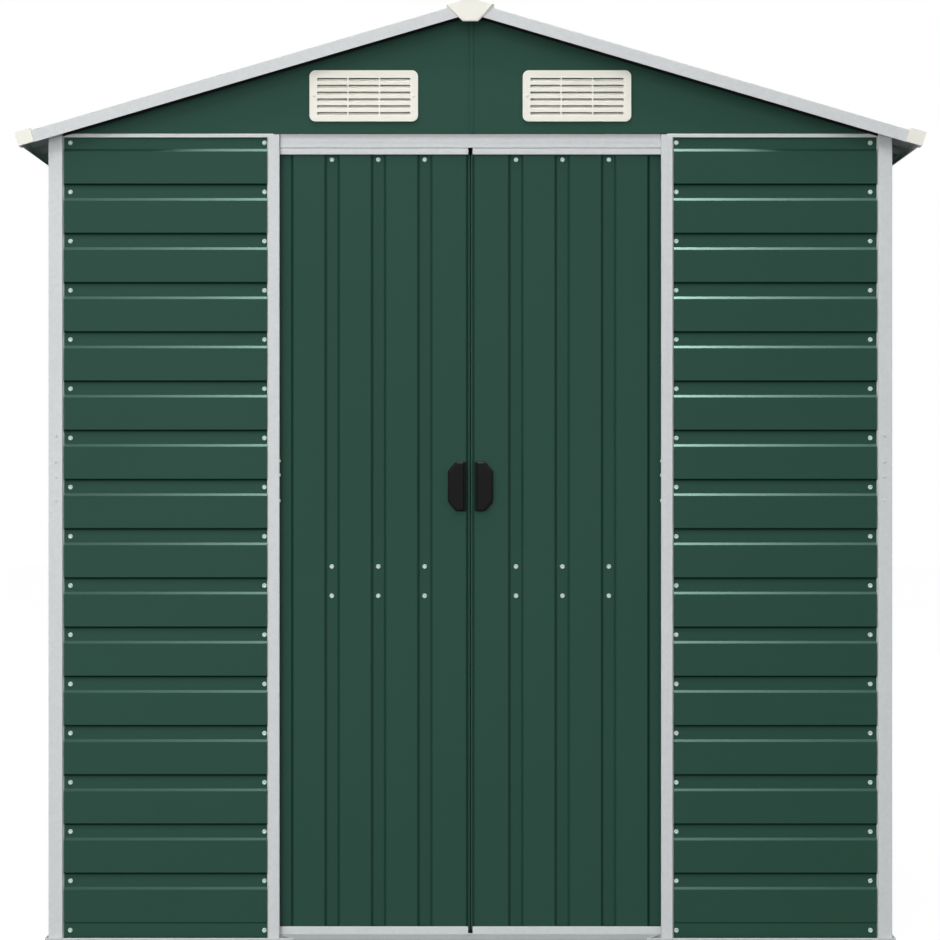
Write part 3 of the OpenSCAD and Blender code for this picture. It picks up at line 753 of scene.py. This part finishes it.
def folded_strip(name, path, run, wall, radius, finish, body, slot):
    """Strip of sheet folded along a path and drawn along a run. Its wall is inside the path."""
    bm = bmesh.new()
    corners = [bm.verts.new(point) for point in path]
    edges = [bm.edges.new(pair) for pair in zip(corners, corners[1:])]
    drawn = bmesh.ops.extrude_edge_only(bm, edges=edges)["geom"]
    bmesh.ops.translate(
        bm, vec=run, verts=[item for item in drawn if isinstance(item, bmesh.types.BMVert)]
    )
    bmesh.ops.recalc_face_normals(bm, faces=bm.faces[:])
    round_edges(bm, edges_over(bm, SHARP_ANGLE), radius, BEND_SEGMENTS)
    middle = sum((Vector(point) for point in path), Vector()) / len(path) + Vector(run) / 2
    widest = max(bm.faces, key=lambda face: face.calc_area())
    if widest.normal.dot(widest.calc_center_median() - middle) < 0:
        bmesh.ops.reverse_faces(bm, faces=bm.faces[:])
    for face in bm.faces:
        face.smooth = True
    bmesh.ops.solidify(bm, geom=bm.faces[:], thickness=wall)
    for edge in edges_over(bm, FOLD_ANGLE):
        edge.smooth = False
    finish_object(name, bm, finish, body)


class SHED_OT_mix_finishes(Operator):
    """Makes the finishes and puts them on the frame"""

    bl_idname = "shed.mix_finishes"
    bl_label = "Mix finishes"

    def execute(self, context):
        tones = context.scene.shed_finishes
        tone_drift_group()
        satin_grain_group()
        zinc_spangle_group()
        # The second coating is the darker green that paints the shade under the ribs
        for finish, name, tone, gloss in (
            ("green", "green_coating", tones.green, 0.25),
            ("fold", "green_folds", tones.fold, 0.06),
        ):
            FINISHES[finish] = coated_material(
                name,
                tone,
                drift=(0.16, 2.2),
                grain=(320, 2.4, 5),
                rough=(0.26, 0.38),
                bump=(0.06, 0.0003),
                Specular_IOR_Level=gloss,
                Specular_Tint=(0.60, 1.0, 0.87, 1),
            )
        # Painted shade: the green coating darkens towards the darker green below the ribs and in
        # the grooves
        paint_shade(FINISHES["green"], tones.fold)
        FINISHES["lining"] = coated_material(
            "backing_coat",
            tones.lining,
            drift=(0.2, 3),
            grain=(300, 3, 2),
            rough=(0.55, 0.75),
            bump=(0.06, 0.0003),
            Specular_IOR_Level=0.1,
        )
        FINISHES["grey"] = spangled_material("grey_zinc", tones.grey, Specular_IOR_Level=0.2)
        FINISHES["worn"] = spangled_material("worn_zinc", tones.worn, Specular_IOR_Level=0.2)
        FINISHES["cream"] = coated_material(
            "cream_moulding",
            tones.cream,
            drift=(0.05, 9),
            grain=(700, 30, 0.3),
            rough=(0.38, 0.56),
            bump=(0.12, 0.0003),
            Specular_IOR_Level=0.4,
        )
        FINISHES["black"] = coated_material(
            "black_moulding",
            tones.black,
            drift=(0.3, 30),
            grain=(900, 60, 0.3),
            rough=(0.42, 0.62),
            bump=(0.2, 0.0003),
            Specular_IOR_Level=0.08,
        )
        FINISHES["plated"] = coated_material(
            "plated_screws",
            tones.plated,
            drift=(0.2, 160),
            grain=(900, 90, 0.5),
            rough=(0.30, 0.50),
            bump=(0.1, 0.0002),
            Specular_IOR_Level=0.3,
        )
        by_slot = {
            "green_sheet": "green",
            "silver_frame": "grey",
            "cream_plastic": "cream",
            "black_plastic": "black",
        }
        for subpart in frame["record"]["subparts"]:
            node = frame["nodes"][subpart["node"]]
            for slot in node.material_slots:
                slot.material = FINISHES[by_slot[subpart["material_slot"]]]
        # The door sill takes the darker zinc
        for slot in frame["nodes"]["door_sill"].material_slots:
            slot.material = FINISHES["worn"]
        return {"FINISHED"}


class SHED_OT_roll_sheets(Operator):
    """Coats the sheets on both sides, paints shade under their ribs and in their grooves, and
    rounds the shading of their bends
    """

    bl_idname = "shed.roll_sheets"
    bl_label = "Roll sheets"

    def execute(self, context):
        front, right, up = -AXES["y"], AXES["x"], AXES["z"]
        for nodes, facing in (
            (FRONT_SHEETS + FRONT_GABLES + DOOR_SHEETS, front),
            (REAR_SHEETS + REAR_GABLES, -front),
            (LEFT_SHEETS, -right),
            (RIGHT_SHEETS, right),
            (ROOF_SHEETS, up),
        ):
            for node in nodes:
                rolled_copy(node, facing)
        return {"FINISHED"}


class SHED_OT_trim_doors(Operator):
    """Folds the hems of the doors' meeting edges and the cappings of their top rails"""

    bl_idname = "shed.trim_doors"
    bl_label = "Trim doors"

    # Lengths, and for each sheet its wall and the radius of its bends
    meeting_gap = 0.0006
    hem_width = 0.0036
    hem_front = 0.0048
    hem_depth = 0.0036
    hem_sheet = (0.0008, 0.0012)
    capping_top = 1.6734
    capping_foot = 1.6597
    capping_depth = 0.0053
    capping_sheet = (0.0010, 0.0015)

    def execute(self, context):
        for door, side in DOORS:
            self.fold_hem(door, side)
            self.fold_capping(door)
        return {"FINISHED"}

    def fold_hem(self, door, side):
        """Hem round the upright edge that meets the other door, up to the capping."""
        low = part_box(door + "_sheet")[0]
        front = low.y + self.hem_front
        back = front + self.hem_depth
        edge = side * self.meeting_gap
        inner = edge + side * self.hem_width
        path = [
            (inner, front, low.z),
            (edge, front, low.z),
            (edge, back, low.z),
            (inner, back, low.z),
        ]
        run = (0, 0, self.capping_foot - low.z)
        folded_strip(door + "_hem", path, run, *self.hem_sheet, "green", door, "green_sheet")

    def fold_capping(self, door):
        """Capping on the part of the top rail that shows below the track."""
        low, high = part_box(door + "_rails")
        front = low.y - self.capping_depth
        path = [
            (low.x, low.y, self.capping_top),
            (low.x, front, self.capping_top),
            (low.x, front, self.capping_foot),
            (low.x, low.y, self.capping_foot),
        ]
        run = (high.x - low.x, 0, 0)
        name = door + "_capping"
        folded_strip(name, path, run, *self.capping_sheet, "grey", door, "silver_frame")


class SHED_OT_dress_gables(Operator):
    """Puts dark strips that paint the shade under the verges, seam welts and louvre blades on the
    gables, and a cove on the header
    """

    bl_idname = "shed.dress_gables"
    bl_label = "Dress gables"

    # Lengths, and for each sheet its wall and the radius of its bends
    # Dark strips under the verges, shaped as foam seals, that paint the shade there
    seal_start = 0.02
    seal_end = 0.86
    seal_drop = 0.0261
    seal_height = 0.015
    seal_depth = 0.006
    seal_sheet = (0.0015, 0.0015)
    # Places across the gable, each with its lift off the gable's face
    welt = ((-0.0029, 0), (-0.0019, 0.0018), (0.0065, 0.0018), (0.0075, 0))
    welt_top = 0.037
    welt_sheet = (0.0008, 0.0004)
    vent_middle = 0.225
    vent_rows = 6
    vent_pitch = 0.0144
    # Depths behind the gable's face, each with its rise
    blade = ((0, -0.0016), (0.0065, 0.0014), (0.0130, 0.0049))
    blade_half = 0.0975
    blade_sheet = (0.0012, 0.002)
    header_face = 0.0068
    cove_half = 0.4005
    cove_height = 0.017
    cove_depth = 0.0064
    cove_curve = 3.2
    cove_gap = 0.001
    cove_steps = 8
    cove_sheet = (0.0004, 0.001)

    def execute(self, context):
        ridge = context.scene.shed_fasteners.ridge_height
        fall = math.tan(context.scene.shed_fasteners.roof_pitch)
        for end, y_side in (("front", -1), ("rear", 1)):
            halves = [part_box(end + "_gable_" + hand) for hand in ("left", "right")]
            foot = halves[0][0].z
            if y_side < 0:
                face = max(low.y for low, _ in halves)
            else:
                face = min(high.y for _, high in halves)
            self.lay_welt(end, face, y_side, foot, ridge - self.welt_top)
            # Dark strips that paint the shade under the verges
            for hand, x_side in HANDS:
                self.lay_seal(end + "_verge_seal_" + hand, face, y_side, x_side, ridge, fall)
            if end == "front":
                self.lay_cove(face, foot)
            low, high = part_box(end + "_vents")
            middle = (low.z + high.z) / 2
            for hand, x_side in HANDS:
                for row in range(self.vent_rows):
                    height = middle + (row - (self.vent_rows - 1) / 2) * self.vent_pitch
                    name = f"{end}_{hand}_blade_{row + 1}"
                    self.lay_blade(name, face, y_side, x_side * self.vent_middle, height)
        return {"FINISHED"}

    def lay_seal(self, name, face, y_side, x_side, ridge, fall):
        """Dark strip between a gable and the verge trim in front of it, shaped as a foam seal:
        painted shade under the verge.
        """
        x = x_side * self.seal_start
        foot = ridge - self.seal_start * fall - self.seal_drop
        head = foot + self.seal_height
        front = face + y_side * self.seal_depth
        path = [(x, face, head), (x, front, head), (x, front, foot), (x, face, foot)]
        length = self.seal_end - self.seal_start
        run = (x_side * length, 0, -length * fall)
        folded_strip(name, path, run, *self.seal_sheet, "black", "shed", "black_plastic")

    def lay_cove(self, face, gable_foot):
        """Cove of the header over the doors, curving out to the foot of the front gable."""
        path = []
        top = gable_foot - self.cove_gap
        for step in range(self.cove_steps + 1):
            share = step / self.cove_steps
            y = face + self.header_face - self.cove_depth * share**self.cove_curve
            path.append((-self.cove_half, y, top - self.cove_height * (1 - share)))
        run = (2 * self.cove_half, 0, 0)
        folded_strip("header_cove", path, run, *self.cove_sheet, "grey", "shed", "silver_frame")

    def lay_welt(self, end, face, y_side, foot, head):
        """Raised welt over the seam in the middle of a gable."""
        path = [(x, face + y_side * lift, foot) for x, lift in self.welt]
        run = (0, 0, head - foot)
        name = end + "_gable_welt"
        folded_strip(name, path, run, *self.welt_sheet, "green", "shed", "green_sheet")

    def lay_blade(self, name, face, y_side, middle, height):
        """Curved blade that keeps rain out behind one row of louvres."""
        start = middle - self.blade_half
        path = [(start, face - y_side * back, height + rise) for back, rise in self.blade]
        run = (2 * self.blade_half, 0, 0)
        folded_strip(name, path, run, *self.blade_sheet, "cream", "shed", "cream_plastic")


class SHED_OT_screw_walls(Operator):
    """Puts the screws on the walls, posts, jambs and vents"""

    bl_idname = "shed.screw_walls"
    bl_label = "Screw walls"

    post_rows = (0.927, 0.977, 1.009, 1.064)
    jamb_rows = (0.927, 0.981, 1.011)
    vent_inset = 0.009
    # Width of a vent as a share of its height
    vent_shape = 229 / 108
    rivet_height = 0.6

    def execute(self, context):
        settings = context.scene.shed_fasteners
        head = head_mesh("wall_head", settings, settings.head)
        rivet = head_mesh("rivet_head", settings, settings.rivet, self.rivet_height)
        front, right = -AXES["y"], AXES["x"]
        stamps = sheet_stamps(settings, head, FRONT_SHEETS, "x", front)
        stamps += sheet_stamps(settings, head, REAR_SHEETS, "x", -front)
        stamps += sheet_stamps(settings, head, LEFT_SHEETS, "y", -right)
        stamps += sheet_stamps(settings, head, RIGHT_SHEETS, "y", right)
        stamps += self.post_stamps(rivet)
        stamps += self.jamb_stamps(rivet)
        stamp_heads("wall_screws", stamps, "shed")
        stamp_heads("vent_screws", self.vent_stamps(rivet), "shed", "cream")
        return {"FINISHED"}

    def post_stamps(self, rivet):
        """Small heads in the middle of the posts' faces."""
        stamps = []
        inset = (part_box("front_left_wall")[0].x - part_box("front_left_post")[0].x) / 2
        for post in CORNER_POSTS:
            low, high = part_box(post)
            x_side = 1 if low.x + high.x > 0 else -1
            y_side = 1 if low.y + high.y > 0 else -1
            x_face = high.x if x_side > 0 else low.x
            y_face = high.y if y_side > 0 else low.y
            for row in self.post_rows:
                end = Vector((x_face - x_side * inset, y_face, row))
                side = Vector((x_face, y_face - y_side * inset, row))
                stamps.append((rivet, end, AXES["y"] * y_side))
                stamps.append((rivet, side, AXES["x"] * x_side))
        return stamps

    def jamb_stamps(self, rivet):
        """Small heads on the jambs' returns, inside the doorway."""
        stamps = []
        for jamb, side in (("left_door_jamb", -1), ("right_door_jamb", 1)):
            low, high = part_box(jamb)
            face = high.x if side < 0 else low.x
            for row in self.jamb_rows:
                place = Vector((face, (low.y + high.y) / 2, row))
                stamps.append((rivet, place, AXES["x"] * -side))
        return stamps

    def vent_stamps(self, rivet):
        """Two small heads at the ends of each vent."""
        stamps = []
        for node, y_side in (("front_vents", -1), ("rear_vents", 1)):
            low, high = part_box(node)
            face = low.y if y_side < 0 else high.y
            outer = high.x - self.vent_inset
            inner = high.x - (high.z - low.z) * self.vent_shape + self.vent_inset
            for x in (-outer, -inner, inner, outer):
                place = Vector((x, face, (low.z + high.z) / 2))
                stamps.append((rivet, place, AXES["y"] * y_side))
        return stamps


class SHED_OT_screw_doors(Operator):
    """Puts the screws in the grooves of the doors"""

    bl_idname = "shed.screw_doors"
    bl_label = "Screw doors"

    rows = (0.725, 0.787, 1.650)
    grooves = (0.0968, 0.1953, 0.2938)

    def execute(self, context):
        settings = context.scene.shed_fasteners
        head = head_mesh("door_head", settings, settings.head)
        for door, side in DOORS:
            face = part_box(door + "_sheet")[1].y - settings.sheet_wall
            stamps = [
                (head, Vector((side * groove, face, row)), -AXES["y"])
                for groove in self.grooves
                for row in self.rows
            ]
            stamp_heads(door + "_screws", stamps, door)
        return {"FINISHED"}


class SHED_OT_screw_roof(Operator):
    """Puts screws with washers on the roof and rivets on its verges"""

    bl_idname = "shed.screw_roof"
    bl_label = "Screw roof"

    # Run down the slope, and lift off the plane of the trims
    flashing_row = (0.084, 0.0010)
    purlin_row = (0.492, -0.0124)
    eave_row = (0.978, 0.0)
    verge_rows = (0.16, 0.38, 0.60, 0.82)
    verge_inset = 0.018
    rivet_height = 0.5

    def execute(self, context):
        settings = context.scene.shed_fasteners
        head = head_mesh("roof_head", settings, settings.head, washer=settings.washer)
        rivet = head_mesh("verge_head", settings, settings.rivet, self.rivet_height)
        low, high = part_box("left_roof_sheet")
        ribs = int((high.y - low.y) / settings.roof_rib_pitch)
        # An odd number, with one rib in the middle
        ribs -= 1 - ribs % 2
        crests = [(k - (ribs - 1) / 2) * settings.roof_rib_pitch for k in range(ribs)]
        flats = [crest + settings.roof_rib_pitch / 2 for crest in crests[:-1]]
        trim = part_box("front_verge_trims")[0].y
        eave_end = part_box("eave_trims")[1].y
        stamps = []
        for side in (-1, 1):
            for y in crests[::2]:
                stamps.append((head, *self.spot(settings, side, self.flashing_row, y)))
                if abs(y) < eave_end:
                    stamps.append((head, *self.spot(settings, side, self.eave_row, y)))
            for y in flats[::2]:
                stamps.append((head, *self.spot(settings, side, self.purlin_row, y)))
            for run in self.verge_rows:
                for end in (-1, 1):
                    y = end * (abs(trim) - self.verge_inset)
                    stamps.append((rivet, *self.spot(settings, side, (run, 0), y)))
        stamp_heads("roof_screws", stamps, "shed")
        return {"FINISHED"}

    def spot(self, settings, side, row, y):
        """Place on one slope of the roof, and the way that the slope faces."""
        run, lift = row
        down = Matrix.Rotation(side * settings.roof_pitch, 3, "Y")
        place = down @ Vector((side * run, y, lift))
        return place + AXES["z"] * settings.ridge_height, down @ AXES["z"]


class SHED_OT_mould_plastic(Operator):
    """Rounds the edges of the moulded caps, vents and handles"""

    bl_idname = "shed.mould_plastic"
    bl_label = "Mould plastic parts"

    # Name, node, radius and segments of the rounded edges, finish, slot, and radius of a rim
    mouldings = (
        ("moulded_ridge_caps", "ridge_end_caps", 0.0009, 2, "cream", "cream_plastic", 0.0024),
        ("moulded_eave_caps", "eave_corner_caps", 0.0011, 2, "cream", "cream_plastic"),
        ("moulded_front_vents", "front_vents", 0.0005, 1, "cream", "cream_plastic"),
        ("moulded_rear_vents", "rear_vents", 0.0005, 1, "cream", "cream_plastic"),
        ("moulded_left_handle", "left_door_handle", 0.0018, 3, "black", "black_plastic"),
        ("moulded_right_handle", "right_door_handle", 0.0018, 3, "black", "black_plastic"),
    )

    def execute(self, context):
        for moulding in self.mouldings:
            softened_copy(*moulding)
        return {"FINISHED"}


class SHED_OT_set_stage(Operator):
    """Sets the floor, the room light, the lamps and the camera"""

    bl_idname = "shed.set_stage"
    bl_label = "Set stage"

    floor_half = 20
    floor_drop = 0.0006
    floor_glow = 0.94
    lamp_target = (0, 0, 1.0)
    # Name of a lamp and of its power, then its place, width and depth
    lamps = (
        ("key_lamp", "key_power", (-1.6, -8.0, 6.4), 4.0, 3.0),
        ("fill_lamp", "fill_power", (-2.0, -6.2, 1.1), 4.0, 2.4),
        ("left_lamp", "side_power", (-6.0, 0.6, 3.0), 3.0, 2.5),
        ("right_lamp", "side_power", (6.0, 0.6, 3.0), 3.0, 2.5),
        ("rear_lamp", "side_power", (0.6, 6.5, 3.5), 3.0, 2.5),
    )
    sheen_lamp = ((0.10, -2.54, 5.09), 1.03, 0.35)
    sheen_target = (0.10, -1.03, 3.64)
    sensor_width = 36

    def execute(self, context):
        settings = context.scene.shed_stage
        context.scene.view_settings.view_transform = "Standard"
        self.lay_floor(context, settings)
        self.light_room(context, settings)
        for name, power, *stand in self.lamps:
            power = getattr(settings, power)
            lamp = self.hang_lamp(context, name, power, self.lamp_target, *stand)
            lamp.visible_glossy = False
        power, target = settings.sheen_power, self.sheen_target
        sheen = self.hang_lamp(context, "sheen_lamp", power, target, *self.sheen_lamp)
        sheen.visible_diffuse = False
        self.stand_camera(context, settings)
        return {"FINISHED"}

    def white_to_lens(self, tree):
        """Socket that is 1 for what the camera sees, also in gloss and through glass."""
        path = tree.nodes.new("ShaderNodeLightPath")
        seen = math_node(
            tree, "MAXIMUM", path.outputs["Is Camera Ray"], path.outputs["Is Glossy Ray"]
        )
        return math_node(tree, "MAXIMUM", seen, path.outputs["Is Transmission Ray"])

    def lay_floor(self, context, settings):
        """Pale floor that keeps the shed's shadow."""
        bm = bmesh.new()
        bmesh.ops.create_grid(
            bm,
            x_segments=1,
            y_segments=1,
            size=self.floor_half,
            matrix=Matrix.Translation((0, 0, -self.floor_drop)),
        )
        mesh = mesh_from(bm, "floor")
        floor = bpy.data.objects.new("floor", mesh)
        context.scene.collection.objects.link(floor)
        mesh.materials.append(self.floor_material(settings))

    def floor_material(self, settings):
        """Floor that looks white from outside, with a plain tone inside the walls."""
        material = bpy.data.materials.new("pale_floor")
        material.use_nodes = True
        tree = material.node_tree
        tree.nodes.remove(tree.nodes["Principled BSDF"])
        matt = tree.nodes.new("ShaderNodeBsdfDiffuse")
        glow = tree.nodes.new("ShaderNodeEmission")
        total = tree.nodes.new("ShaderNodeAddShader")
        open_floor = self.outside_footprint(tree)
        inner = settings.inner_floor_tone
        step = math_node(tree, "MULTIPLY", open_floor, settings.floor_tone - inner)
        tone = math_node(tree, "ADD", step, inner)
        tree.links.new(tone, matt.inputs["Color"])
        seen = math_node(tree, "MULTIPLY", self.white_to_lens(tree), open_floor)
        strength = math_node(tree, "MULTIPLY", seen, self.floor_glow)
        tree.links.new(strength, glow.inputs["Strength"])
        tree.links.new(matt.outputs["BSDF"], total.inputs[0])
        tree.links.new(glow.outputs["Emission"], total.inputs[1])
        tree.links.new(total.outputs["Shader"], tree.nodes["Material Output"].inputs["Surface"])
        return material

    def outside_footprint(self, tree):
        """Socket that is 0 on the floor inside the walls, where no white shows."""
        place = tree.nodes.new("ShaderNodeTexCoord")
        axes = tree.nodes.new("ShaderNodeSeparateXYZ")
        tree.links.new(place.outputs["Object"], axes.inputs["Vector"])
        half_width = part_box("base_rail_right")[1].x
        half_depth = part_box("base_rail_rear")[1].y
        beside = math_node(tree, "ABSOLUTE", axes.outputs["X"], 0)
        before = math_node(tree, "ABSOLUTE", axes.outputs["Y"], 0)
        return math_node(
            tree,
            "MAXIMUM",
            math_node(tree, "GREATER_THAN", beside, half_width),
            math_node(tree, "GREATER_THAN", before, half_depth),
        )

    def light_room(self, context, settings):
        """White surroundings for the camera, an even soft light for the shed."""
        world = bpy.data.worlds.new("white_room")
        world.use_nodes = True
        tree = world.node_tree
        light = tree.nodes["Background"]
        light.inputs["Color"].default_value = (1, 1, 1, 1)
        spare = math_node(tree, "MULTIPLY", self.white_to_lens(tree), 1 - settings.room_light)
        strength = math_node(tree, "ADD", spare, settings.room_light)
        tree.links.new(strength, light.inputs["Strength"])
        context.scene.world = world

    def hang_lamp(self, context, name, power, target, place, width, depth):
        """Soft rectangular lamp that points at a target."""
        lamp = bpy.data.lights.new(name, "AREA")
        lamp.shape = "RECTANGLE"
        lamp.size = width
        lamp.size_y = depth
        lamp.energy = power
        holder = bpy.data.objects.new(name, lamp)
        holder.location = place
        aim = Vector(target) - Vector(place)
        holder.rotation_euler = aim.to_track_quat("-Z", "Y").to_euler()
        holder.visible_camera = False
        context.scene.collection.objects.link(holder)
        return holder

    def stand_camera(self, context, settings):
        """Level camera in front of the doors."""
        camera = bpy.data.cameras.new("front_camera")
        camera.sensor_width = self.sensor_width
        camera.lens = settings.lens
        stand = bpy.data.objects.new("front_camera", camera)
        stand.location = settings.camera_place
        stand.rotation_euler = (math.radians(90), 0, 0)
        context.scene.collection.objects.link(stand)
        context.scene.camera = stand


class SHED_PT_sidebar(Panel):
    """Lists the steps and their settings"""

    bl_idname = "SHED_PT_sidebar"
    bl_label = "Shed"
    bl_space_type = "VIEW_3D"
    bl_region_type = "UI"
    bl_category = "Shed"

    def draw(self, context):
        for operator in OPERATORS:
            self.layout.operator(operator.bl_idname)
        for group in (
            context.scene.shed_finishes,
            context.scene.shed_fasteners,
            context.scene.shed_stage,
        ):
            box = self.layout.box()
            for name in group.__annotations__:
                box.prop(group, name)


OPERATORS = (
    SHED_OT_mix_finishes,
    SHED_OT_roll_sheets,
    SHED_OT_trim_doors,
    SHED_OT_dress_gables,
    SHED_OT_screw_walls,
    SHED_OT_screw_doors,
    SHED_OT_screw_roof,
    SHED_OT_mould_plastic,
    SHED_OT_set_stage,
)
CLASSES = (ShedFinishes, ShedFasteners, ShedStage, *OPERATORS, SHED_PT_sidebar)


def register():
    for cls in CLASSES:
        bpy.utils.register_class(cls)
    bpy.types.Scene.shed_finishes = PointerProperty(type=ShedFinishes)
    bpy.types.Scene.shed_fasteners = PointerProperty(type=ShedFasteners)
    bpy.types.Scene.shed_stage = PointerProperty(type=ShedStage)


def unregister():
    del bpy.types.Scene.shed_stage
    del bpy.types.Scene.shed_fasteners
    del bpy.types.Scene.shed_finishes
    for cls in reversed(CLASSES):
        bpy.utils.unregister_class(cls)


def main():
    register()
    bpy.ops.shed.mix_finishes()
    bpy.ops.shed.roll_sheets()
    bpy.ops.shed.trim_doors()
    bpy.ops.shed.dress_gables()
    bpy.ops.shed.screw_walls()
    bpy.ops.shed.screw_doors()
    bpy.ops.shed.screw_roof()
    bpy.ops.shed.mould_plastic()
    bpy.ops.shed.set_stage()


if __name__ == "__main__":
    main()
